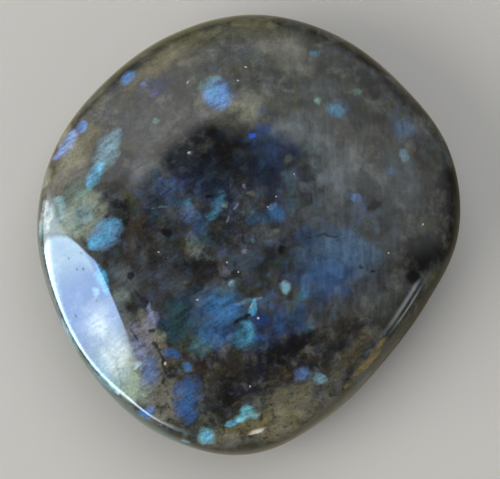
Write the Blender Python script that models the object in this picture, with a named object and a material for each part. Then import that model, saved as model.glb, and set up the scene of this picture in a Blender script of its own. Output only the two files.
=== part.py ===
"""Polished labradorite palm stone: one solid, lying on its flat base.

The form is a soft intersection of a few plain shapes, the way such a stone is ground by hand:
a low dome, flats ground round its shoulder, a rounded side wall that follows the outline, and a
flatter underside cut off level where the stone rests.
Units are metres, +Z is up, and the origin is the middle of the base under the bounding box.
"""

import math

import bmesh
import bpy
import numpy as np
from mathutils import Vector, noise

MM = 0.001

# Plan outline: radius of the widest line every 22.5 degrees, counter-clockwise from +X.
OUTLINE_RADII = np.array([
    33.0, 34.2, 33.7, 34.4, 34.9, 33.9, 33.3, 33.7,
    33.7, 33.1, 33.7, 35.0, 34.9, 31.6, 29.4, 30.1,
]) * MM
THICKNESS = 26.0 * MM
GIRDLE_HEIGHT = 11.5 * MM

# Dome and underside, as radii of curvature, and the bend of the side wall above and below the
# widest line.
DOME_RADIUS = 110.0 * MM
DOME_APEX = (1.5 * MM, 2.0 * MM)
UPPER_SIDE_RADIUS = 26.0 * MM
LOWER_SIDE_RADIUS = 11.0 * MM
UNDERSIDE_RADIUS = 130.0 * MM
BASE_CUT = 1.1 * MM

# Flats ground round the shoulder: (direction in plan, tilt from level, distance from the middle
# at which the flat starts, softness of its edge with the dome). Degrees and metres.
SHOULDER_FLATS = (
    (207.0, 29.0, 24.6 * MM, 0.12 * MM),
    (318.0, 31.0, 22.5 * MM, 0.45 * MM),
    (268.0, 30.0, 26.5 * MM, 0.50 * MM),
    (8.0, 27.0, 24.5 * MM, 0.90 * MM),
    (52.0, 25.0, 25.5 * MM, 0.90 * MM),
    (98.0, 27.0, 26.0 * MM, 0.80 * MM),
    (150.0, 28.0, 25.0 * MM, 0.70 * MM),
)
FLAT_BOW_RADIUS = 200.0 * MM

# Softness of the edge between top and side wall, at the outline's directions.
SHOULDER_SOFTNESSES = np.array([
    0.75, 0.95, 1.05, 1.10, 1.10, 1.00, 0.90, 0.70,
    0.35, 0.14, 0.14, 0.35, 0.60, 0.55, 0.40, 0.50,
]) * MM
UNDERSIDE_SOFTNESS = 1.6 * MM

# Low swells that hand polishing leaves.
SWELL_HEIGHT = 0.16 * MM
SWELL_LENGTH = 17.0 * MM
SWELL_SEED = Vector((3.1, 7.4, 1.9))

GRID_CUTS = 27
GRID_FLATTENING = 0.45
LONGEST_RAY = 50.0 * MM
RAY_HALVINGS = 40

STONE_COLOUR = (0.075, 0.085, 0.08, 1.0)
STONE_ROUGHNESS = 0.12


def soft_max(first, second, softness):
    """The larger of two fields, rounded where they cross."""
    return softness * np.logaddexp(first / softness, second / softness)


def around(values, azimuth):
    """A smooth closed curve through values that are spaced evenly round the stone."""
    count = len(values)
    place = (azimuth / (2 * math.pi)) % 1.0 * count
    start = np.floor(place).astype(int)
    t = place - start
    before, here, after, later = (values[(start + step) % count] for step in (-1, 0, 1, 2))
    slope_here = (after - before) / 2
    slope_after = (later - here) / 2
    return (
        here * (2 * t**3 - 3 * t**2 + 1)
        + slope_here * (t**3 - 2 * t**2 + t)
        + after * (3 * t**2 - 2 * t**3)
        + slope_after * (t**3 - t**2)
    )


def plan_azimuth(points):
    """Direction of points from the middle, seen in plan."""
    return np.arctan2(points[:, 1], points[:, 0])


def dome(points):
    """Distance outside the low dome of the top."""
    centre = np.array([*DOME_APEX, THICKNESS - DOME_RADIUS])
    return np.linalg.norm(points - centre, axis=1) - DOME_RADIUS


def shoulder_flat(points, azimuth, tilt, start):
    """Distance outside one ground flat, which leaves the dome at start from the middle.

    A flat is very slightly bowed along its length, as one ground by hand is.
    """
    azimuth, tilt = math.radians(azimuth), math.radians(tilt)
    out = np.array([math.cos(azimuth), math.sin(azimuth)])
    normal = np.array([*(out * math.sin(tilt)), math.cos(tilt)])
    foot = out * start
    drop = DOME_RADIUS - math.sqrt(DOME_RADIUS**2 - np.sum((foot - DOME_APEX) ** 2))
    along = points[:, 1] * out[0] - points[:, 0] * out[1]
    flat = (points - np.array([*foot, THICKNESS - drop])) @ normal
    return flat + along**2 / (2 * FLAT_BOW_RADIUS)


def side_wall(points):
    """Distance outside the rounded wall that follows the outline."""
    plan = np.hypot(points[:, 0], points[:, 1])
    rise = points[:, 2] - GIRDLE_HEIGHT
    bend = np.where(rise > 0, UPPER_SIDE_RADIUS, LOWER_SIDE_RADIUS)
    return plan - around(OUTLINE_RADII, plan_azimuth(points)) + rise**2 / (2 * bend)


def underside(points):
    """Distance outside the gently rounded underside, whose lowest part the base cuts off."""
    centre = np.array([0.0, 0.0, UNDERSIDE_RADIUS - BASE_CUT])
    return np.linalg.norm(points - centre, axis=1) - UNDERSIDE_RADIUS


def outside(points):
    """How far points lie outside the stone, roughly, and negative inside."""
    top = dome(points)
    for azimuth, tilt, start, softness in SHOULDER_FLATS:
        top = soft_max(top, shoulder_flat(points, azimuth, tilt, start), softness)
    shoulder_softness = around(SHOULDER_SOFTNESSES, plan_azimuth(points))
    body = soft_max(top, side_wall(points), shoulder_softness)
    return soft_max(body, underside(points), UNDERSIDE_SOFTNESS)


def on_surface(directions):
    """Where rays from the middle of the stone meet its surface, with the swells of the polish."""
    middle = np.array([0.0, 0.0, GIRDLE_HEIGHT])
    near = np.zeros(len(directions))
    far = np.full(len(directions), LONGEST_RAY)
    for _ in range(RAY_HALVINGS):
        half = (near + far) / 2
        inside = outside(middle + directions * half[:, None]) < 0
        near = np.where(inside, half, near)
        far = np.where(inside, far, half)
    points = middle + directions * near[:, None]
    swell = np.array([noise.noise(Vector(p) / SWELL_LENGTH + SWELL_SEED) for p in points])
    return points + directions * (swell * SWELL_HEIGHT)[:, None]


def even_directions(cube_points):
    """Directions for points of a cube's grid, evened out and spread towards the shoulder."""
    spread = np.tan(cube_points * math.pi / 4)
    spread /= np.linalg.norm(spread, axis=1)[:, None]
    spread[:, 2] *= GRID_FLATTENING
    return spread / np.linalg.norm(spread, axis=1)[:, None]


def stone_mesh():
    """A cube's even grid moved out to the stone's surface and cut off level at the base."""
    grid = bmesh.new()
    bmesh.ops.create_cube(grid, size=2.0)
    bmesh.ops.subdivide_edges(grid, edges=grid.edges[:], cuts=GRID_CUTS, use_grid_fill=True)
    points = on_surface(even_directions(np.array([v.co for v in grid.verts])))
    points[:, 2] = np.maximum(points[:, 2], 0.0)
    points[:, :2] -= (points[:, :2].max(axis=0) + points[:, :2].min(axis=0)) / 2
    for vert, point in zip(grid.verts, points):
        vert.co = point
    bmesh.ops.recalc_face_normals(grid, faces=grid.faces[:])
    mesh = bpy.data.meshes.new("stone")
    grid.to_mesh(mesh)
    grid.free()
    mesh.shade_smooth()
    return mesh


def stone_material():
    """Dark grey-green polished stone."""
    material = bpy.data.materials.new("polished_labradorite")
    material.use_nodes = True
    shader = material.node_tree.nodes["Principled BSDF"]
    shader.inputs["Base Color"].default_value = STONE_COLOUR
    shader.inputs["Roughness"].default_value = STONE_ROUGHNESS
    shader.inputs["Metallic"].default_value = 0.0
    return material


def build():
    for obj in list(bpy.data.objects):
        bpy.data.objects.remove(obj)
    collection = bpy.data.collections.new("labradorite_palm_stone")
    bpy.context.scene.collection.children.link(collection)
    stone = bpy.data.objects.new("stone", stone_mesh())
    stone.data.materials.append(stone_material())
    collection.objects.link(stone)


build()
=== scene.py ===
# Polished labradorite palm stone, lying on a pale studio floor.
import math
from types import SimpleNamespace

import bmesh
import bpy
import numpy as np
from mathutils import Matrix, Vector, noise


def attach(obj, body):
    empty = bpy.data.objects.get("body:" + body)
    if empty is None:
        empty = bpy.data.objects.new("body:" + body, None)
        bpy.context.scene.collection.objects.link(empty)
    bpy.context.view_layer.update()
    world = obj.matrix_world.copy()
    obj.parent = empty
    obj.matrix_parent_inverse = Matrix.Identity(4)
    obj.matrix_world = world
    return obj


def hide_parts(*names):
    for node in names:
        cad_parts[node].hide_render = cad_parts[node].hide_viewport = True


mm = 0.001
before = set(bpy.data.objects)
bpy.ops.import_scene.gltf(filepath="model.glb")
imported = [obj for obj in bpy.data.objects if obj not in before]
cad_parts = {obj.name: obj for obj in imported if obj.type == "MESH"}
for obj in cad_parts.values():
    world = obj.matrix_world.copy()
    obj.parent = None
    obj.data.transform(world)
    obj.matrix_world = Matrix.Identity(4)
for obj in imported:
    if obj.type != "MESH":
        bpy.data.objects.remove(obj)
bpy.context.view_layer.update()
print("frame loaded")


# Shader maths is written as expressions on sockets, and each operation adds its Math node.
class Wire:
    def __init__(self, graph, socket):
        self.graph = graph
        self.socket = socket

    def __add__(self, other):
        return self.graph.math("ADD", self, other)

    def __radd__(self, other):
        return self.graph.math("ADD", other, self)

    def __sub__(self, other):
        return self.graph.math("SUBTRACT", self, other)

    def __rsub__(self, other):
        return self.graph.math("SUBTRACT", other, self)

    def __mul__(self, other):
        return self.graph.math("MULTIPLY", self, other)

    def __rmul__(self, other):
        return self.graph.math("MULTIPLY", other, self)


class Graph:
    def __init__(self, tree):
        self.tree = tree
        tree.nodes.clear()

    def pin(self, sockets, key):  # by place, identifier or name
        if isinstance(key, int):
            return sockets[key]
        return next(s for s in sockets if key in (s.identifier, s.name))

    def node(self, kind, settings, sockets, out=0):
        made = self.tree.nodes.new(kind)
        for key, value in settings.items():
            setattr(made, key, value)
        for key, value in sockets.items():
            pin = self.pin(made.inputs, key)
            if isinstance(value, Wire):
                self.tree.links.new(value.socket, pin)
            else:
                pin.default_value = value
        return Wire(self, self.pin(made.outputs, out)) if made.outputs else made

    def blend(self, mask, first, second, how="MIX"):
        return self.node(
            "ShaderNodeMix",
            {"data_type": "RGBA", "blend_type": how},
            {"Factor_Float": mask, "A_Color": first, "B_Color": second},
            "Result_Color",
        )

    def math(self, operation, *terms):
        return self.node("ShaderNodeMath", {"operation": operation}, dict(enumerate(terms)))

    def grey(self, value):
        return self.node("ShaderNodeCombineColor", {}, {0: value, 1: value, 2: value})

    def part(self, colour, which):  # one channel of a colour
        return self.node("ShaderNodeSeparateColor", {}, {0: colour}, which)

    def vector(self, operation, first, second=None, out=0):
        sockets = {0: first} if second is None else {0: first, 1: second}
        return self.node("ShaderNodeVectorMath", {"operation": operation}, sockets, out)

    def step(self, value, low, high, to=(0.0, 1.0)):  # smooth step from low to high
        return self.node(
            "ShaderNodeMapRange",
            {"interpolation_type": "SMOOTHSTEP", "clamp": False},
            {"Value": value, "From Min": low, "From Max": high, "To Min": to[0], "To Max": to[1]},
        )

    def warp(self, place, scale, amount):  # shift places about by a noise
        shift = self.noise(place, scale, 2.0, 0.5, "Color")
        sockets = {0: shift, 1: (amount,) * 3, 2: place}
        moved = self.node("ShaderNodeVectorMath", {"operation": "MULTIPLY_ADD"}, sockets)
        return self.vector("SUBTRACT", moved, (amount / 2,) * 3)

    def noises(self, place, scale, detail, roughness):  # three noises about zero
        colour = self.noise(place, scale, detail, roughness, "Color")
        return [self.part(colour, channel) - 0.5 for channel in range(3)]

    def noise(self, place, scale, detail, roughness, out="Fac"):
        return self.node(
            "ShaderNodeTexNoise",
            {},
            {"Vector": place, "Scale": scale, "Detail": detail, "Roughness": roughness},
            out,
        )


def paint(hexCode):  # "#rrggbb" as shown on screen, to the linear colour that shaders use
    shown = [int(hexCode[i : i + 2], 16) / 255 for i in (1, 3, 5)]
    return (*[c / 12.92 if c < 0.04045 else ((c + 0.055) / 1.055) ** 2.4 for c in shown], 1.0)


# The stone: a low dome, flats ground round its shoulder, a rounded side wall that follows its
# outline, and a flatter underside cut off level where it rests.
stoneForm = {
    # plan radius every 22.5 degrees from +X, counter-clockwise
    "outline": np.array([33.0, 34.2, 33.7, 34.4, 34.9, 33.9, 33.3, 33.7,
                         33.7, 33.1, 33.7, 35.0, 34.9, 31.6, 29.4, 30.1]) * mm,
    "thickness": 26.0 * mm,
    "girdle": 11.5 * mm,
    "domeRadius": 110.0 * mm,
    "domeApex": (1.5 * mm, 2.0 * mm),
    "upperSideRadius": 26.0 * mm,
    "lowerSideRadius": 11.0 * mm,
    "undersideRadius": 130.0 * mm,
    "baseCut": 1.1 * mm,
    # direction and tilt in degrees, start from the middle, softness of the edge
    "flats": [
        (207.0, 29.0, 24.6 * mm, 0.12 * mm),
        (318.0, 31.0, 22.5 * mm, 0.45 * mm),
        (268.0, 30.0, 26.5 * mm, 0.50 * mm),
        (8.0, 27.0, 24.5 * mm, 0.90 * mm),
        (52.0, 25.0, 25.5 * mm, 0.90 * mm),
        (98.0, 27.0, 26.0 * mm, 0.80 * mm),
        (150.0, 28.0, 25.0 * mm, 0.70 * mm),
    ],
    "flatBow": 200.0 * mm,
    # softness of the shoulder every 22.5 degrees, as the outline
    "shoulder": np.array([0.75, 0.95, 1.05, 1.1, 1.1, 1.0, 0.9, 0.7,
                          0.35, 0.14, 0.14, 0.35, 0.6, 0.55, 0.4, 0.5]) * mm,
    "undersideSoftness": 1.6 * mm,
    "swellHeight": 0.16 * mm,
    "swellLength": 17.0 * mm,
    "swellSeed": Vector((3.1, 7.4, 1.9)),
    "waveHeight": 0.012 * mm,
    "waveLength": 4.5 * mm,
    "gridCuts": 125,
    "gridFlattening": 0.45,
    "longestRay": 50.0 * mm,
    "rayHalvings": 30,
}


def softMax(first, second, softness):
    return softness * np.logaddexp(first / softness, second / softness)


def around(values, azimuth):  # smooth closed curve through values spaced evenly round the stone
    place = (azimuth / (2 * math.pi)) % 1.0 * len(values)
    start = np.floor(place).astype(int)
    t = place - start
    before, here, after, later = (values[(start + k) % len(values)] for k in (-1, 0, 1, 2))
    return (
        here * (2 * t**3 - 3 * t**2 + 1)
        + (after - before) / 2 * (t**3 - 2 * t**2 + t)
        + after * (3 * t**2 - 2 * t**3)
        + (later - here) / 2 * (t**3 - t**2)
    )


def groundFlat(form, points, azimuth, tilt, start):
    azimuth, tilt = math.radians(azimuth), math.radians(tilt)
    out = np.array([math.cos(azimuth), math.sin(azimuth)])
    normal = np.array([*(out * math.sin(tilt)), math.cos(tilt)])
    radius = form["domeRadius"]
    drop = radius - math.sqrt(radius**2 - np.sum((out * start - form["domeApex"]) ** 2))
    along = points[:, 1] * out[0] - points[:, 0] * out[1]
    flat = (points - np.array([*(out * start), form["thickness"] - drop])) @ normal
    return flat + along**2 / (2 * form["flatBow"])


def outsideStone(form, points):  # roughly how far points lie outside the stone
    radius = form["domeRadius"]
    domeCentre = np.array([*form["domeApex"], form["thickness"] - radius])
    top = np.linalg.norm(points - domeCentre, axis=1) - radius
    for azimuth, tilt, start, softness in form["flats"]:
        top = softMax(top, groundFlat(form, points, azimuth, tilt, start), softness)
    plan = np.hypot(points[:, 0], points[:, 1])
    azimuths = np.arctan2(points[:, 1], points[:, 0])
    rise = points[:, 2] - form["girdle"]
    bend = np.where(rise > 0, form["upperSideRadius"], form["lowerSideRadius"])
    wall = plan - around(form["outline"], azimuths) + rise**2 / (2 * bend)
    lowCentre = np.array([0.0, 0.0, form["undersideRadius"] - form["baseCut"]])
    low = np.linalg.norm(points - lowCentre, axis=1) - form["undersideRadius"]
    body = softMax(top, wall, around(form["shoulder"], azimuths))
    return softMax(body, low, form["undersideSoftness"])


def onStone(form, directions):  # where rays from the middle meet the surface
    middle = np.array([0.0, 0.0, form["girdle"]])
    near = np.zeros(len(directions))
    far = np.full(len(directions), form["longestRay"])
    for _ in range(form["rayHalvings"]):
        half = (near + far) / 2
        inside = outsideStone(form, middle + directions * half[:, None]) < 0
        near = np.where(inside, half, near)
        far = np.where(inside, far, half)
    points = middle + directions * near[:, None]
    swell = np.array([noise.noise(Vector(p) / form["swellLength"] + form["swellSeed"]) for p in points])
    wave = np.array([noise.noise(Vector(p) / form["waveLength"]) for p in points])
    return points + directions * (swell * form["swellHeight"] + wave * form["waveHeight"])[:, None]


def stoneSurface(form):
    grid = bmesh.new()
    bmesh.ops.create_cube(grid, size=2.0)  # from -1 to 1, so that the tangent evens its grid out
    bmesh.ops.subdivide_edges(grid, edges=grid.edges[:], cuts=form["gridCuts"], use_grid_fill=True)
    spread = np.tan(np.array([v.co for v in grid.verts]) * math.pi / 4)
    spread /= np.linalg.norm(spread, axis=1)[:, None]
    spread[:, 2] *= form["gridFlattening"]
    spread /= np.linalg.norm(spread, axis=1)[:, None]
    points = onStone(form, spread)
    points[:, 2] = np.maximum(points[:, 2], 0.0)
    points[:, :2] -= (points[:, :2].max(axis=0) + points[:, :2].min(axis=0)) / 2
    for vert, point in zip(grid.verts, points):
        vert.co = point
    bmesh.ops.recalc_face_normals(grid, faces=grid.faces[:])
    mesh = bpy.data.meshes.new("polishedStone")
    grid.to_mesh(mesh)
    grid.free()
    mesh.shade_smooth()
    return mesh


stone = bpy.data.objects.new("polishedStone", stoneSurface(stoneForm))
bpy.context.scene.collection.objects.link(stone)
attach(stone, "root")
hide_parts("stone")
print("stone surface made:", len(stone.data.polygons), "faces")


# The camera's view. The marks on the stone are placed in its picture, so their x and y count
# picture points right and down from the top left corner.
pictureView = {
    "width": 500,
    "height": 479,
    "pointsPerMillimetre": 6.28,  # on the stone
    "sensor": 36.0,
    "lens": 163.5,
    "elevation": 83,
    "distance": 0.36,
    "aim": (0.0002, -0.0009, 0.0115),
}


def cameraPlace(view):  # where the camera is, and the direction back to it
    tilt = math.radians(view["elevation"])
    back = Vector((0.0, -math.cos(tilt), math.sin(tilt)))
    return Vector(view["aim"]) + back * view["distance"], back


def snapped(size, step):
    return round(round(size / step) * step, 2)


def seen(view, x, y, step):  # plan place, in millimetres, of what shows at a point of the picture
    camera, back = cameraPlace(view)
    right = Vector((1.0, 0.0, 0.0))
    up = back.cross(right)
    spread = view["sensor"] / view["lens"] / view["width"]
    ray = (right * (x - view["width"] / 2) + up * (view["height"] / 2 - y)) * spread - back
    _, point, _, _ = stone.ray_cast(camera, ray.normalized())
    return snapped(point.x / mm, step), snapped(point.y / mm, step)


def placed(view, shape, step):  # a long round patch in millimetres, from the one in the picture
    x, y, length, width, turn = shape
    sizes = [snapped(size / view["pointsPerMillimetre"], step) for size in (length, width)]
    return (*seen(view, x, y, step), *sizes, turn)


labradoriteLook = {
    "paints": {
        "pitch": "#100f11", "ink": "#191d23", "navy": "#1f2c48", "umber": "#29251f", "brown": "#3a3228",
        "ochre": "#584e32", "olive": "#454531", "moss": "#2b302a", "sage": "#6a7a70", "slate": "#3d4146",
        "stone": "#4a4b48", "cream": "#7a786c", "bone": "#b4b698", "haze": "#4b6480", "steel": "#31587c",
        "royal": "#345f9e", "royalDark": "#213b6e", "denim": "#2e4c78", "cobalt": "#2f5ce0",
        "azure": "#3d74ac", "sky": "#5290e2", "lilacSky": "#8a9ee6",
        "periwinkle": "#5b76a4", "paleBlue": "#6492ba", "turquoise": "#58b0da", "ice": "#a9d8e6",
        "lagoon": "#468aa6", "frost": "#78a2b4", "mint": "#7fa99a", "violet": "#504f8a", "lilac": "#8b8eb0",
        "teal": "#3f6a70", "snow": "#d4dcd2", "gold": "#94804e", "cornflower": "#6298e0",
        "ash": "#565c5f", "khaki": "#706a4a", "aqua": "#7cd2e4", "celadon": "#8a9a90", "tealDark": "#284850",
        "tealGrey": "#4c7880", "pebble": "#8a8c80", "wall": "#434c42", "plum": "#2a2738", "paintedGlint": "#c8cccc",
    },
    # warps of the places that patterns are read from: scale a millimetre, reach in millimetres
    "drift": (0.12, 4.0),
    "shake": (0.45, 1.5),
    "cloud": (0.5, 1.6),
    "rag": (1.5, 0.3),
    "layerBend": (0.25, 1.6),
    # noises: scale a millimetre, detail, roughness
    "broad": (0.17, 3.0, 0.55),
    "smooth": (0.55, 1.5, 0.5),
    "rough": (0.6, 6.0, 0.66),
    "fine": (2.6, 3.0, 0.7),
    "layers": (1.3, 3.0, 0.55),
    "flecks": (0.5, 1.2, 0.5),
    "mottles": (0.8, 2.5, 0.6),
    # soft-edged crystals and layers: stretches along X, Y and Z
    "grainStretch": (1.0, 0.62, 1.0),
    "grainScale": 0.8,
    "grainSoftness": 0.6,
    "uprightStretch": (1.5, 0.18, 0.5),
    "slantAxes": ((-0.154, -0.093, 0.0), (0.773, -1.285, 0.0), (0.0, 0.0, 0.5)),
    # where parts of the stone begin and where they are full, in millimetres
    "lowerPart": (-12.0, -21.0),  # along Y
    "rightPart": (-4.0, 8.0),  # along X
    "wallTop": (17.0, 11.0),  # along Z, as the next
    "wallCrystalTop": (15.0, 12.5),
    "wallCrystalScale": 0.24,
    # paints of the three kinds of fleck, and their strengths over the veils; then of the mottles
    "fleckPaints": (("steel", 0.18), ("teal", 0.12), ("violet", 0.05)),
    "mottlePaints": (("ochre", 0.5), ("ash", 0.5), ("ink", 0.7)),
    # squared distances from a mark's middle, 1 at its outline: where it starts and where it is full
    "edges": {
        "heart": (1.7, 0.5), "zones": (2.3, 0.0), "flashes": (2.4, -0.5), "darks": (2.2, 0.0),
        "pebbles": (2.0, 0.2), "paintedGlints": (1.8, 0.2), "pits": (1.6, 0.2),
    },
    "cleanStrength": 0.9,  # flashes over this have clean edges
    "crackWidth": 0.7,  # and so have dark marks narrower than this, in millimetres
    "offStoneHeight": 12.0,  # of marks whose middle lies past the outline, in millimetres
    # length and width in millimetres, and turn, of each painted glint and pit
    "paintedGlintShape": (0.34, 0.34, 0),
    "pitShape": (0.38, 0.34, 0),
    "polish": {"Roughness": 0.035, "IOR": 1.56},
    "pitSurface": {"Roughness": 0.9},
    # where the flecks are strongest: x, y, length, width in millimetres, turn from +X
    "heart": (0, -3, 42, 34, 20),
    # once placed, marks keep to these steps, in millimetres
    "steps": {"zones": 0.5, "flashes": 0.2, "darks": 0.2, "pebbles": 0.5, "paintedGlints": 0.1, "pits": 0.1},
    # broad clouds of colour, among them painted glow at some edges and painted shade on the right rim: x, y,
    # length, width in the picture, turn from +X, paint, strength
    "zones": [
        (178, 50, 90, 26, 32, "olive", 0.9), (204, 55, 60, 14, 20, "khaki", 0.7),
        (150, 74, 60, 16, 36, "khaki", 0.5), (176, 52, 70, 12, 26, "khaki", 0.4),
        # (72, 150) in ochre: golden edge colour, partly the body's own and partly painted glow of light
        # through the edge
        (72, 150, 70, 30, 62, "ochre", 0.8), (272, 42, 60, 34, -20, "cream", 0.7),
        (228, 52, 50, 34, 0, "slate", 0.6), (188, 88, 40, 52, 0, "moss", 0.8),
        (152, 86, 38, 13, 0, "navy", 0.8), (138, 120, 52, 40, 60, "slate", 0.7),
        (122, 170, 50, 20, 70, "ink", 0.8), (165, 128, 60, 46, 30, "stone", 0.5),
        (243, 108, 30, 26, 0, "cream", 0.55), (310, 75, 84, 50, -20, "moss", 0.85),
        (360, 80, 52, 20, -45, "pitch", 0.9), (360, 140, 120, 50, -20, "stone", 0.7),
        (388, 195, 60, 84, 0, "slate", 0.6), (420, 252, 50, 34, 20, "pitch", 0.9),
        # (452, 214) in pitch: painted shade along the right rim, standing for the dark reflection of the
        # shaded ground
        (452, 214, 100, 34, 86, "pitch", 0.95), (220, 160, 112, 70, -18, "ink", 0.95),
        (273, 165, 40, 74, 0, "navy", 0.45), (185, 200, 90, 56, 0, "navy", 0.45),
        (137, 233, 22, 42, 0, "brown", 0.9), (160, 245, 50, 34, -20, "umber", 0.7),
        (150, 276, 72, 46, -20, "slate", 0.75), (205, 268, 64, 36, 0, "umber", 0.4),
        (250, 245, 70, 50, 0, "slate", 0.5), (322, 212, 80, 56, 0, "slate", 0.6),
        (340, 258, 84, 46, -8, "haze", 0.85), (330, 282, 80, 34, -8, "denim", 0.5),
        (218, 320, 56, 46, 4, "steel", 0.75), (176, 318, 36, 50, 0, "ink", 0.6),
        (268, 330, 50, 36, 0, "navy", 0.85), (266, 366, 150, 26, 36, "pitch", 0.95),
        (246, 382, 54, 18, 34, "plum", 0.8), (222, 368, 70, 34, 10, "umber", 0.8),
        (220, 402, 40, 24, 60, "pitch", 0.6), (216, 374, 50, 26, 0, "brown", 0.5),
        (286, 375, 40, 22, 30, "umber", 0.9), (366, 300, 90, 56, 50, "stone", 0.7),
        (236, 268, 60, 30, 0, "slate", 0.4), (335, 340, 70, 36, 38, "umber", 0.85),
        # both ochre zones here: golden lower edges, partly the body's own colour and partly painted glow of
        # light through the edge
        (340, 368, 110, 20, 52, "ochre", 0.5), (285, 422, 120, 34, 22, "ochre", 0.7),
        (292, 402, 70, 34, 30, "stone", 0.6), (146, 360, 110, 28, 100, "cream", 0.6),
        (160, 400, 60, 26, 90, "stone", 0.6), (110, 338, 80, 44, -58, "bone", 0.35),
        (112, 364, 34, 26, -45, "bone", 0.6), (122, 362, 40, 34, -50, "bone", 0.5),
        (134, 386, 44, 26, -40, "celadon", 0.85), (99, 326, 30, 26, 0, "bone", 0.6),
        (74, 208, 56, 36, 80, "sage", 0.85), (72, 182, 36, 14, 30, "ink", 0.85),
        (405, 98, 130, 12, -55, "stone", 0.6), (76, 162, 44, 36, 60, "cream", 0.6),
        (84, 146, 46, 22, 62, "khaki", 0.6), (82, 214, 34, 32, 60, "celadon", 0.7),
        (56, 188, 30, 20, 60, "cream", 0.8), (164, 402, 34, 64, 0, "cream", 0.75),
        (304, 402, 84, 34, 28, "cream", 0.35), (290, 398, 50, 18, 30, "khaki", 0.5),
        (330, 401, 30, 16, 40, "ash", 0.5), (258, 424, 90, 26, 16, "khaki", 0.8),
        (226, 442, 60, 18, -4, "cream", 0.7), (276, 436, 50, 16, 14, "cream", 0.6),
        (300, 250, 30, 40, 0, "umber", 0.35), (148, 372, 34, 22, 80, "lilac", 0.4),
        (158, 338, 20, 14, 0, "bone", 0.35), (154, 348, 22, 60, 14, "cream", 0.75),
        (334, 170, 64, 48, 0, "ash", 0.85), (302, 128, 54, 34, 0, "ash", 0.8),
        (322, 92, 40, 26, 0, "ash", 0.5), (236, 116, 42, 32, 0, "sage", 0.3),
        (236, 117, 42, 32, 0, "khaki", 0.3), (237, 117, 30, 24, 0, "bone", 0.2),
        (290, 62, 44, 30, -20, "cream", 0.3), (200, 60, 44, 30, 20, "stone", 0.6),
        (404, 182, 40, 40, 0, "ash", 0.6), (362, 110, 44, 26, -20, "pitch", 0.55),
        (226, 140, 46, 60, 0, "pitch", 0.7), (230, 230, 36, 34, 0, "pitch", 0.7),
        (200, 268, 40, 20, 0, "pitch", 0.5), (270, 262, 36, 26, 0, "ink", 0.5),
        (360, 292, 60, 26, 20, "slate", 0.7), (144, 258, 40, 30, 0, "umber", 0.6),
        (142, 290, 44, 30, 0, "umber", 0.4), (124, 280, 22, 34, 0, "ash", 0.6),
        (180, 208, 34, 24, 0, "ash", 0.4), (292, 158, 26, 20, 0, "umber", 0.5),
        (86, 218, 36, 30, 0, "bone", 0.4), (84, 214, 22, 20, 60, "frost", 0.4),
        (86, 220, 30, 28, 0, "sage", 0.6), (64, 136, 30, 16, 60, "bone", 0.5),
        (48, 176, 20, 24, 80, "bone", 0.6), (232, 30, 110, 24, -2, "olive", 0.9),
        (170, 40, 60, 18, 28, "olive", 0.8), (300, 34, 60, 20, -18, "olive", 0.4),
        (190, 36, 60, 14, 20, "khaki", 0.5), (255, 24, 50, 14, -4, "khaki", 0.5),
        (117, 300, 16, 24, -60, "celadon", 0.35), (242, 260, 30, 20, 0, "haze", 0.25),
        (250, 370, 24, 20, 30, "slate", 0.4), (135, 392, 30, 24, -45, "celadon", 0.35),
        (142, 358, 56, 20, -72, "periwinkle", 0.6), (100, 96, 24, 20, 50, "khaki", 0.35),
        (76, 160, 26, 22, 60, "bone", 0.25), (281, 435, 40, 16, 14, "khaki", 0.5),
        (281, 350, 26, 22, 0, "pitch", 0.35), (322, 36, 36, 18, -20, "pitch", 0.35),
        (112, 318, 26, 20, -60, "haze", 0.5), (127, 377, 24, 18, -45, "sage", 0.5),
        (140, 60, 30, 14, 30, "cream", 0.3), (151, 322, 20, 16, 0, "lilac", 0.4),
        (130, 232, 16, 40, 0, "brown", 0.5), (150, 130, 26, 26, 0, "ash", 0.4),
        (370, 60, 40, 16, -40, "pitch", 0.5), (422, 250, 40, 30, 0, "pitch", 0.5),
        (330, 382, 40, 24, 30, "stone", 0.6), (250, 192, 34, 20, 0, "slate", 0.5),
        (322, 210, 40, 36, 0, "ash", 0.4),
    ],
    # crystals that flash, the same way; among them a painted reflection of the window at the left edge and a
    # painted golden glow along the lower right shoulder
    "flashes": [
        (82, 127, 12, 10, 60, "cornflower", 0.95), (66, 144, 34, 15, 60, "lilacSky", 0.92),
        (66, 144, 30, 12, 60, "ice", 0.35), (57, 155, 12, 10, 60, "lilacSky", 0.9),
        (108, 150, 44, 20, 66, "frost", 0.95), (94, 176, 32, 11, 56, "turquoise", 0.95),
        (104, 235, 46, 14, 40, "paleBlue", 0.95), (106, 233, 34, 21, 38, "paleBlue", 0.92),
        (99, 240, 26, 9, 34, "turquoise", 0.7), (112, 226, 20, 14, 50, "lagoon", 0.6),
        # (40, 229) is part of the white reflection of the window at the left edge, painted into the colour
        (40, 229, 10, 18, 0, "ice", 0.95), (102, 280, 30, 10, -70, "turquoise", 0.95),
        (95, 293, 10, 7, 45, "ice", 0.9), (66, 333, 38, 26, -62, "turquoise", 0.9),
        # (49, 220) is part of the painted window reflection at the left edge
        (70, 337, 36, 18, -62, "ice", 0.6), (49, 220, 26, 8, 75, "snow", 0.8),
        (86, 215, 16, 14, 0, "frost", 0.55), (136, 390, 20, 14, -40, "celadon", 0.55),
        (108, 364, 18, 14, -45, "snow", 0.5), (66, 329, 26, 20, -62, "ice", 0.6),
        (97, 326, 20, 18, 0, "snow", 0.5), (102, 378, 40, 26, -45, "frost", 0.8),
        (48, 276, 90, 24, -80, "celadon", 0.6), (81.5, 358, 60, 24, -54, "celadon", 0.6),
        (115, 388, 14, 6, -45, "ice", 0.7), (146, 413, 18, 13, 30, "sky", 0.85),
        (187, 402, 46, 24, 87, "royal", 0.85), (188, 398, 26, 12, 87, "azure", 0.5),
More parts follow.
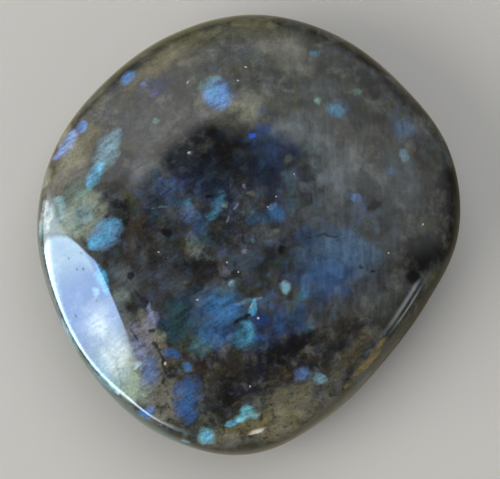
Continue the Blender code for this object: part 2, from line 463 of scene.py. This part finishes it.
        (190, 383, 24, 16, 80, "denim", 0.85), (171, 354, 15, 11, -20, "royal", 0.9),
        (188, 366, 8, 9, 0, "azure", 0.95), (206, 437, 15, 15, 80, "aqua", 0.95),
        (206, 437, 10, 10, 0, "sky", 0.4), (185, 441, 14, 8, 0, "frost", 0.95),
        (232, 424, 13, 6, 25, "turquoise", 0.95), (248, 412, 12, 11, 20, "aqua", 0.95),
        (241, 418, 12, 7, 30, "aqua", 0.95), (255, 416, 7, 5, 0, "frost", 0.95),
        (302, 375, 16, 12, 10, "periwinkle", 0.9), (321, 378, 14, 9, -5, "frost", 0.85),
        (218, 93, 32, 22, -60, "cornflower", 0.95), (214, 92, 24, 9, -64, "lagoon", 0.5),
        (208, 84, 26, 12, 30, "mint", 0.35), (128, 78, 14, 12, 30, "cornflower", 0.95),
        (155, 91, 9, 8, 10, "violet", 0.95), (143, 84, 6, 5, 0, "periwinkle", 0.95),
        (258, 132, 22, 10, 35, "royalDark", 0.9), (252, 136, 8, 5, 40, "cobalt", 0.95),
        (263, 108, 8, 10, 0, "violet", 0.6), (279, 150, 36, 30, 0, "denim", 0.3),
        (338, 111, 22, 18, 35, "haze", 0.5), (337, 112, 13, 11, 35, "turquoise", 0.75),
        (315, 53, 9, 7, -30, "lagoon", 0.6), (318, 101, 8, 6, 20, "mint", 0.95),
        (357, 92, 8, 7, 0, "mint", 0.3), (403, 128, 20, 17, 0, "haze", 0.8),
        (404, 156, 9, 12, 0, "frost", 0.9), (392, 170, 16, 8, 0, "haze", 0.8),
        (353, 197, 12, 9, 0, "periwinkle", 0.8), (165, 187, 24, 16, 0, "periwinkle", 0.35),
        (187, 203, 8, 8, 0, "lagoon", 0.5), (190, 215, 18, 12, -20, "periwinkle", 0.5),
        (200, 228, 15, 11, 60, "steel", 0.8), (219, 203, 26, 9, 70, "lagoon", 0.4),
        (211, 216, 12, 8, 20, "lagoon", 0.6), (279, 213, 14, 12, 0, "azure", 0.6),
        (262, 217, 34, 10, 15, "steel", 0.6), (286, 287, 8, 11, 10, "frost", 0.95),
        (246, 334, 26, 18, 78, "lagoon", 0.65), (249, 331, 20, 7, 85, "turquoise", 0.45),
        (248, 301, 30, 4, 12, "frost", 0.4), (252, 308, 17, 6, 80, "turquoise", 0.75),
        (250, 307, 6, 2.6, 80, "snow", 0.9), (262, 337, 13, 9, 0, "royal", 0.6),
        (262, 318, 18, 13, 0, "royalDark", 0.95), (280, 322, 26, 12, 90, "denim", 0.8),
        (221, 309, 32, 22, 15, "azure", 0.8), (198, 295, 30, 14, 10, "steel", 0.3),
        (178, 322, 26, 44, 0, "tealDark", 0.8), (203, 344, 26, 18, 30, "tealGrey", 0.6),
        (217, 333, 30, 20, 20, "royal", 0.55), (345, 248, 32, 26, 0, "haze", 0.9),
        (366, 252, 22, 16, 0, "haze", 0.7), (302, 293, 12, 12, 0, "lagoon", 0.5),
        (330, 270, 40, 26, 0, "denim", 0.5), (298, 318, 30, 16, 88, "denim", 0.65),
        (150, 314, 20, 5, -75, "lilac", 0.9), (157, 121, 6, 5, 0, "mint", 0.5),
        (138, 345, 42, 24, 100, "lilac", 0.5), (120, 352, 26, 16, 100, "snow", 0.3),
        (150, 368, 26, 16, 80, "periwinkle", 0.5), (117, 86, 30, 16, 60, "ash", 0.4),
        # (44, 214) and (60, 208) are part of the painted window reflection at the left edge
        (44, 214, 26, 12, 90, "snow", 0.7), (60, 208, 12, 24, 10, "ice", 0.5),
        (83, 194, 24, 8, 20, "mint", 0.5), (174, 200, 16, 10, 0, "steel", 0.5),
        (305, 235, 24, 16, 0, "denim", 0.4), (335, 290, 26, 16, 0, "denim", 0.5),
        # (367, 362) in gold: the body's golden colour along the lower right shoulder with painted glow of
        # light through the edge, where the mirrored streak falls
        (367, 362, 74, 10, 55, "gold", 0.75), (236, 209, 12, 2.3, 50, "lilac", 0.55),
        (229, 220, 9, 2, 68, "lilac", 0.35), (251, 193, 7, 5, 0, "pebble", 0.35),
        (252, 241, 5, 4, 0, "mint", 0.35), (272, 233, 12, 7, 20, "pebble", 0.28),
        (193, 248, 16, 13, 0, "pebble", 0.28), (244, 252, 6, 5, 0, "lilac", 0.7),
        (288, 160, 8, 8, 0, "khaki", 0.35), (225, 205, 6, 5, 0, "celadon", 0.6),
        (190, 153, 5, 4, 0, "sage", 0.8), (232, 284, 7, 6, 0, "frost", 0.7),
        (246, 186, 8, 2.4, -60, "lilac", 0.6), (272, 207, 10, 5, 45, "periwinkle", 0.8),
        (158, 209, 16, 2.6, 10, "frost", 0.35), (155, 216, 10, 8, 30, "teal", 0.4),
        (136, 366, 20, 4, 40, "ice", 0.6), (356, 380, 24, 8, 52, "teal", 0.6),
    ],
    # dark grains and cracks, and painted shade on the right rim: x, y, length, width, turn, strength
    "darks": [
        (167, 232, 9, 9, 0, 0.9), (282, 250, 11, 8, 60, 0.95), (374, 205, 12, 9, 20, 0.95),
        (361, 267, 5, 5, -30, 0.9), (373, 270, 5, 4, 0, 0.8), (413, 276, 14, 11, 0, 0.95),
        (210, 196, 5, 4, 0, 0.9), (150, 222, 16, 8, 30, 0.6), (117, 205, 14, 9, 0, 0.8),
        (152, 331, 9, 5, 0, 0.9), (195, 285, 20, 10, 0, 0.4), (236, 275, 12, 8, 0, 0.5),
        (300, 345, 14, 9, 40, 0.9), (131, 275, 9, 5, 30, 0.8), (306, 173, 14, 20, 0, 0.6),
        (192, 108, 5, 14, 0, 0.6), (156, 343, 34, 3, -62, 0.7), (160, 353, 40, 3.4, -64, 0.7),
        (163, 365, 44, 3, -78, 0.7), (165, 379, 46, 2.6, -82, 0.65), (167, 393, 46, 2.6, -82, 0.6),
        (168, 407, 46, 2.6, -86, 0.6), (169, 420, 40, 2.6, -88, 0.5), (242, 320, 22, 4, 30, 0.8),
        (224, 328, 40, 5, 18, 0.5), (296, 344, 22, 12, 30, 0.7), (264, 364, 130, 18, 36, 0.65),
        # (456, 206): painted shade along the right rim, as the pitch zone there
        (218, 392, 38, 26, 60, 0.65), (456, 206, 80, 24, 86, 0.7), (424, 250, 50, 32, 20, 0.6),
        (230, 331, 22, 8, 20, 0.5), (202, 262, 30, 14, 0, 0.45), (242, 40, 34, 12, 0, 0.3),
        (372, 62, 46, 18, -40, 0.5), (340, 342, 26, 14, 40, 0.5), (312, 338, 30, 16, 30, 0.35),
        (266, 331, 18, 12, 0, 0.3), (208, 312, 16, 20, 0, 0.25), (216, 372, 36, 22, 10, 0.3),
        (225, 140, 40, 50, 0, 0.5), (166, 372, 7, 70, 6, 0.45), (131, 330, 30, 3, -58, 0.5),
        (143, 300, 34, 3, -52, 0.5), (330, 236, 64, 3, 2, 0.5), (126, 212, 8, 26, 0, 0.6),
    ],
    # clusters of light grains, as the dark ones
    "pebbles": [
        (197, 250, 36, 32, 0, 0.48), (240, 208, 70, 50, -40, 0.32), (230, 268, 80, 26, -10, 0.32),
        (125, 212, 60, 20, -30, 0.32), (270, 70, 110, 70, -20, 0.28), (300, 400, 90, 36, 30, 0.36),
    ],
    # pits in the polish: x, y
    "pits": [
        (65, 254), (81, 252), (69, 259), (63, 277), (76, 270), (83, 270), (99, 298), (75, 316),
        (96, 302), (189, 191),
    ],
    # painted glints, small bright reflections of light painted into the colour: x, y
    "paintedGlints": [
        (197, 302), (168, 259), (158, 253.5), (189, 152), (275, 196.5), (227, 262), (238, 273), (232, 283),
        (258, 317), (238, 80), (246, 67), (188, 82), (296, 175), (325, 147), (166, 363), (268, 207),
        (388, 253), (423, 223), (250, 387), (257, 434),
    ],
}


def onTop(x, y):  # the stone's surface over a plan position, in millimetres
    overhead = Vector((x * mm, y * mm, 100 * mm))
    found, point, _, _ = stone.ray_cast(overhead, Vector((0, 0, -1)))
    return Vector((x, y, point.z / mm if found else labradoriteLook["offStoneHeight"]))


def spot(g, where, ripple, shape, edges, strength=1.0):
    # mask of a long round patch, from 0 at the first edge to full strength at the second, with the
    # ripple added to its squared distances; an ellipse's two focuses give the distance
    x, y, length, width, turn = shape
    middle = onTop(x, y)
    if width > length:
        length, width, turn = width, length, turn + 90
    if length < 1.15 * width:  # nearly round
        span = g.vector("DISTANCE", where, middle, "Value")
        scale = (4 / (length + width)) ** 2
        offset = 0.0
    else:
        focus = math.sqrt(length**2 - width**2) / 2
        away = Vector((math.cos(math.radians(turn)), math.sin(math.radians(turn)), 0)) * focus
        near = g.vector("DISTANCE", where, middle + away, "Value")
        span = near + g.vector("DISTANCE", where, middle - away, "Value")
        scale = 1 / width**2
        offset = (2 * focus / width) ** 2
    reach = g.math("MULTIPLY_ADD", span * span, scale, ripple)
    return g.step(reach, edges[0] + offset, edges[1] + offset, (0.0, strength))


def patterns(g, look):
    # every noise is read from drifted or shaken places and every mark from their further warps, so
    # that the renderer works the noises out first and then one mark at a time
    p = SimpleNamespace()
    coords = g.node("ShaderNodeTexCoord", {}, {}, "Object")
    place = g.vector("MULTIPLY", coords, (1 / mm,) * 3)
    drifted = g.warp(place, *look["drift"])
    p.shaken = g.warp(place, *look["shake"])
    p.cloudy = g.warp(drifted, *look["cloud"])
    p.ragged = g.warp(p.shaken, *look["rag"])
    # from broad to fine, about zero; colour follows the smooth ones, and tone all of them
    p.broad = g.noises(drifted, *look["broad"])
    p.smooth = g.noises(p.shaken, *look["smooth"])
    p.rough = g.noises(p.shaken, *look["rough"])
    p.fine = g.noise(place, *look["fine"]) - 0.5
    # soft-edged crystals
    stretched = g.vector("MULTIPLY", p.shaken, look["grainStretch"])
    grains = g.node(
        "ShaderNodeTexVoronoi",
        {"feature": "SMOOTH_F1"},
        {"Vector": stretched, "Scale": look["grainScale"], "Smoothness": look["grainSoftness"]},
        "Color",
    )
    p.grain = g.part(grains, 0) - 0.5
    # fine layering, upright on the right half and slanted on the left
    across, upward, p.height = (g.node("ShaderNodeSeparateXYZ", {}, {0: place}, axis) for axis in "XYZ")
    p.lower = g.step(upward + p.broad[0] * 12.0, *look["lowerPart"])
    p.right = g.step(across + p.broad[1] * 12.0, *look["rightPart"]) * (1.0 - p.lower)
    layered = g.warp(place, *look["layerBend"])
    upright = g.noise(g.vector("MULTIPLY", layered, look["uprightStretch"]), *look["layers"])
    along = [g.vector("DOT_PRODUCT", layered, axis, "Value") for axis in look["slantAxes"]]
    slanted = g.noise(g.node("ShaderNodeCombineXYZ", {}, dict(enumerate(along))), *look["layers"])
    p.streak = p.right * (upright - slanted) + slanted - 0.5
    # ripples of the marks' outlines, and the uneven shine of the crystals
    p.wobble = p.smooth[0] * 1.8 + p.rough[0] * 0.8
    p.flake = p.smooth[2] * 4.5 + p.rough[0] * 2.6 + p.grain * 1.2
    p.sheen = g.math("MINIMUM", p.streak * 1.7 + p.rough[0] * 1.0 + p.fine * 0.8 + 0.9, 1.0)
    return p


def clouds(g, look, paints, p):  # the body's colours, broad to small, with painted glow at some edges and painted shade on the right rim
    warm = g.blend(g.step(p.broad[0], -0.14, 0.14), paints["umber"], paints["olive"])
    cool = g.blend(g.step(p.broad[1], -0.14, 0.14), paints["slate"], paints["moss"])
    p.heart = spot(g, p.cloudy, p.wobble * 0.5, look["heart"], look["edges"]["heart"])
    colour = g.blend(g.step(p.smooth[1] + p.broad[2] + p.heart * 0.1, -0.2, 0.2), warm, cool)
    flecks = g.noises(p.shaken, *look["flecks"])
    p.flecks = [g.step(fleck + p.rough[1] * 0.5 + p.grain * 0.15, 0.0, 0.32) for fleck in flecks]
    for mask, (name, _) in zip(p.flecks, look["fleckPaints"]):
        colour = g.blend(mask * (0.08 + p.heart * 0.34), colour, paints[name])
    for *shape, name, strength in look["zones"]:
        shape = placed(pictureView, shape, look["steps"]["zones"])
        zone = spot(g, p.cloudy, p.wobble, shape, look["edges"]["zones"], strength)
        colour = g.blend(zone, colour, paints[name])
    mottles = g.noises(p.shaken, *look["mottles"])
    for mottle, (name, strength) in zip(mottles, look["mottlePaints"]):
        mask = g.step(mottle + p.grain * 0.1, 0.02, 0.2) * p.lower * strength
        colour = g.blend(mask, colour, paints[name])
    return colour


def sideCrystals(g, look, paints, p, colour):  # greener low on the sides, with crystals of their own
    low = g.step(p.height + p.wobble * 4.0, *look["wallTop"])
    colour = g.blend(low * 0.6, colour, paints["wall"])
    cells = {"Vector": p.shaken, "Scale": look["wallCrystalScale"]}
    pick = g.node("ShaderNodeTexVoronoi", {}, cells, "Color")
    reach = g.node("ShaderNodeTexVoronoi", {}, cells, "Distance")
    kind = [g.part(pick, channel) for channel in range(3)]
    crystal = g.step(reach + p.flake * 0.16, 0.5, 0.05)
    gleam = crystal * g.step(kind[0], 0.5, 0.9) * g.step(p.height, *look["wallCrystalTop"])
    hue = g.blend(g.step(kind[1], 0.45, 0.5), paints["royal"], paints["lagoon"])
    hue = g.blend(g.step(kind[2], 0.6, 0.65), hue, paints["turquoise"])
    return g.blend(gleam * p.sheen * 0.8, colour, hue)


def veils(g, look, paints, p, colour):  # milky clouds, faint flecks and gloom over it all
    mist = g.step(p.rough[2] + p.broad[2] * 0.8, -0.02, 0.32)
    colour = g.blend(mist * (0.42 - p.heart * 0.25), colour, paints["cream"])
    for mask, (name, strength) in zip(p.flecks, look["fleckPaints"]):
        colour = g.blend(mask * (0.2 + p.heart * 0.5) * strength, colour, paints[name])
    gloom = g.step(p.rough[1] + p.broad[0] * 0.4, -0.04, -0.34)
    return g.blend(gloom * 0.55, colour, paints["pitch"])


def crystals(g, look, paints, p, colour):  # flashing ones and dark ones, with a painted window reflection, a painted golden glow and painted shade on the right rim among them
    clean = p.flake * 0.3
    torn = p.flake * 0.9
    for *shape, name, strength in look["flashes"]:
        shape = placed(pictureView, shape, look["steps"]["flashes"])
        outline = clean if strength > look["cleanStrength"] else torn
        flash = spot(g, p.ragged, outline, shape, look["edges"]["flashes"], strength)
        colour = g.blend(flash * p.sheen, colour, paints[name])
    clean = p.flake * 0.15
    torn = p.flake * 0.6
    for *shape, strength in look["darks"]:
        shape = placed(pictureView, shape, look["steps"]["darks"])
        outline = clean if shape[3] < look["crackWidth"] else torn
        dark = spot(g, p.ragged, outline, shape, look["edges"]["darks"], strength)
        colour = g.blend(dark, colour, paints["pitch"])
    return colour


def grit(g, look, paints, p, colour):  # the tone of it all, with light grains and painted glints
    sand = p.fine * (1.4 - p.right * 0.8) + p.rough[0] * (p.heart * 0.4 + 1.1)
    tone = p.broad[2] * 0.5 + sand + p.grain * 0.5 + p.streak * 0.9 + 1.0
    colour = g.blend(1.0, colour, g.grey(tone), "MULTIPLY")
    pebbles = g.step(p.rough[1] + p.fine * 0.6 + p.grain * 0.3, 0.02, 0.5)
    for *shape, strength in look["pebbles"]:
        shape = placed(pictureView, shape, look["steps"]["pebbles"])
        cluster = spot(g, p.cloudy, p.wobble, shape, look["edges"]["pebbles"], strength)
        colour = g.blend(pebbles * cluster, colour, paints["pebble"])
    # painted glints: pale specks that stand for tiny reflections of light in the polish
    for x, y in look["paintedGlints"]:
        shape = seen(pictureView, x, y, look["steps"]["paintedGlints"]) + look["paintedGlintShape"]
        paintedGlint = spot(g, p.ragged, 0.0, shape, look["edges"]["paintedGlints"], 0.8)
        colour = g.blend(paintedGlint, colour, paints["paintedGlint"])
    return colour


def pitsInPolish(g, look, p):
    pits = 0.0
    chips = p.fine * 1.5
    for x, y in look["pits"]:
        shape = seen(pictureView, x, y, look["steps"]["pits"]) + look["pitShape"]
        pits = spot(g, p.ragged, chips, shape, look["edges"]["pits"], 0.75) + pits
    return pits


def labradorite(look):
    material = bpy.data.materials.new("labradorite")
    material.use_nodes = True
    g = Graph(material.node_tree)
    paints = {name: paint(code) for name, code in look["paints"].items()}
    p = patterns(g, look)
    colour = clouds(g, look, paints, p)
    colour = sideCrystals(g, look, paints, p, colour)
    colour = veils(g, look, paints, p, colour)
    colour = crystals(g, look, paints, p, colour)
    colour = grit(g, look, paints, p, colour)
    pits = pitsInPolish(g, look, p)
    polished = g.node("ShaderNodeBsdfPrincipled", {}, {"Base Color": colour, **look["polish"]})
    dull = g.node("ShaderNodeBsdfPrincipled", {}, {"Base Color": paints["pitch"], **look["pitSurface"]})
    shader = g.node("ShaderNodeMixShader", {}, {0: pits, 1: polished, 2: dull})
    g.node("ShaderNodeOutputMaterial", {}, {"Surface": shader})
    return material


stone.data.materials.append(labradorite(labradoriteLook))
print("stone material made")


studioLook = {
    "floorSize": 3.0,
    "floorPaint": "#c9c6c1",
    "floorRoughness": 0.9,
    "worldPaint": "#d9dcdf",
    "worldStrength": 0.5,
    # name, azimuth, elevation, distance, size, power, tint
    "lights": [
        ("keyLight", 205, 42, 1.2, 0.9, 7.0, "#fffaf2"),
        ("topLight", 80, 70, 1.4, 1.2, 7.0, "#f8fafd"),
    ],
}


def studioFloor(look):
    bpy.ops.mesh.primitive_plane_add(size=look["floorSize"])
    floor = bpy.context.object
    floor.name = "studioFloor"
    material = bpy.data.materials.new("paleFloor")
    material.use_nodes = True
    g = Graph(material.node_tree)
    sockets = {"Base Color": paint(look["floorPaint"]), "Roughness": look["floorRoughness"]}
    shader = g.node("ShaderNodeBsdfPrincipled", {}, sockets)
    g.node("ShaderNodeOutputMaterial", {}, {"Surface": shader})
    floor.data.materials.append(material)
    floor.visible_glossy = False  # the tent alone is mirrored in the polish


lightTent = {
    "radius": 0.9,
    "darkness": 0.10,  # what the stone mirrors between the lit patches
    "below": "#5a5446",  # and from beneath
    # azimuths and tilts from overhead, in degrees: each fades in over the first two and out over
    # the last two; then strength and tint
    "patches": [
        ((98, 112, 146, 158), (24.5, 28.5, 46, 100), 1.9, "#e2e0dc"),  # sky, brightest on the left
        ((40, 60, 98, 112), (20, 27, 50, 105), 0.95, "#dcdedc"),
        ((-14, 6, 40, 60), (13, 25, 46, 100), 0.7, "#dcdedc"),
        ((158, 166, 182, 190), (36, 46, 62, 74), 2.0, "#c9dcdc"),
        ((184, 187, 200, 216), (33, 36, 90, 94), 15.0, "#a5c8ff"),  # window
        ((200, 212, 217, 228), (33, 40, 90, 94), 3.6, "#d4f2cc"),  # greener at its far end
        ((184, 187, 191, 197), (40, 50, 90, 94), 4.0, "#e7ffb8"),
        # its bright foot
        ((154, 168, 183, 187), (56, 61, 84, 90), 7.0, "#dcf2ff"),
        ((183, 187, 208, 220), (60.5, 65, 84, 90), 12.0, "#dcf2ff"),
        ((208, 220, 236, 262), (60.5, 64, 70, 78), 14.0, "#dcf2ff"),
        # two strips low on the right
        ((324, 331, 334, 340), (61, 66, 67, 72), 3.2, "#e6ecee"),
        ((325, 331, 333, 338), (78, 84, 88, 92), 2.6, "#eef0e4"),
        ((268.8, 270, 271.5, 273), (58, 60, 61.5, 63), 9.0, "#fbf6ea"),  # a small lamp in front
        # weak light from beneath, stronger on the left
        ((30, 60, 320, 345), (95, 110, 181, 182), 0.25, "#cfc6b0"),
        ((75, 100, 140, 160), (95, 110, 181, 182), 0.5, "#c4bf9c"),
        ((140, 160, 185, 200), (95, 110, 181, 182), 0.45, "#a0b2c0"),
        ((180, 195, 235, 255), (95, 110, 181, 182), 0.35, "#98c6cc"),
    ],
}


def patchMask(g, x, y, z, azimuths, tilts):
    middle = math.radians((azimuths[0] + azimuths[3]) / 2)
    ahead = x * math.cos(middle) + y * math.sin(middle)
    aside = y * math.cos(middle) - x * math.sin(middle)
    turn = g.math("ARCTAN2", aside, ahead)
    edges = [math.radians(a) - middle for a in azimuths]
    tilt = g.math("ARCCOSINE", z)
    rims = [math.radians(t) for t in tilts]
    turned = g.step(turn, edges[0], edges[1]) * g.step(turn, edges[3], edges[2])
    return turned * g.step(tilt, rims[0], rims[1]) * g.step(tilt, rims[3], rims[2])


def reflectionTent(tent):  # a dome round the stone that only its polish mirrors
    bpy.ops.mesh.primitive_uv_sphere_add(segments=64, ring_count=32, radius=tent["radius"])
    dome = bpy.context.object
    dome.name = "lightTent"
    material = bpy.data.materials.new("lightTent")
    material.use_nodes = True
    g = Graph(material.node_tree)
    coords = g.node("ShaderNodeTexCoord", {}, {}, "Object")
    direction = g.vector("NORMALIZE", coords)
    x, y, z = (g.node("ShaderNodeSeparateXYZ", {}, {0: direction}, axis) for axis in "XYZ")
    light = g.blend(g.step(z, 0.05, -0.1), (tent["darkness"],) * 3 + (1.0,), paint(tent["below"]))
    for azimuths, tilts, strength, tint in tent["patches"]:
        lit = patchMask(g, x, y, z, azimuths, tilts) * strength
        light = g.blend(1.0, light, g.blend(1.0, paint(tint), g.grey(lit), "MULTIPLY"), "ADD")
    glow = g.node("ShaderNodeEmission", {}, {"Color": light, "Strength": 1.0})
    g.node("ShaderNodeOutputMaterial", {}, {"Surface": glow})
    material.cycles.emission_sampling = "NONE"
    dome.data.materials.append(material)
    dome.visible_camera = False
    dome.visible_diffuse = False
    dome.visible_shadow = False


def softLight(name, azimuth, elevation, distance, size, power, tint):
    data = bpy.data.lights.new(name, "AREA")
    data.shape = "DISK"
    data.size = size
    data.energy = power
    data.color = paint(tint)[:3]
    light = bpy.data.objects.new(name, data)
    bpy.context.scene.collection.objects.link(light)
    a, e = math.radians(azimuth), math.radians(elevation)
    back = Vector((math.cos(a) * math.cos(e), math.sin(a) * math.cos(e), math.sin(e)))
    light.location = back * distance
    light.rotation_euler = (-back).to_track_quat("-Z", "Y").to_euler()
    light.visible_glossy = False


def studioWorld(look):
    world = bpy.data.worlds.new("studio")
    bpy.context.scene.world = world
    world.use_nodes = True
    g = Graph(world.node_tree)
    sockets = {"Color": paint(look["worldPaint"]), "Strength": look["worldStrength"]}
    light = g.node("ShaderNodeBackground", {}, sockets)
    g.node("ShaderNodeOutputWorld", {}, {"Surface": light})


def studioCamera(view):
    data = bpy.data.cameras.new("camera")
    camera = bpy.data.objects.new("camera", data)
    bpy.context.scene.collection.objects.link(camera)
    camera.location, back = cameraPlace(view)
    camera.rotation_euler = (-back).to_track_quat("-Z", "Y").to_euler()
    data.lens = view["lens"]
    data.clip_start = 0.01
    bpy.context.scene.camera = camera


studioFloor(studioLook)
studioWorld(studioLook)
for softLightLook in studioLook["lights"]:
    softLight(*softLightLook)
reflectionTent(lightTent)
studioCamera(pictureView)
bpy.context.scene.view_settings.view_transform = "Standard"
print("studio set")
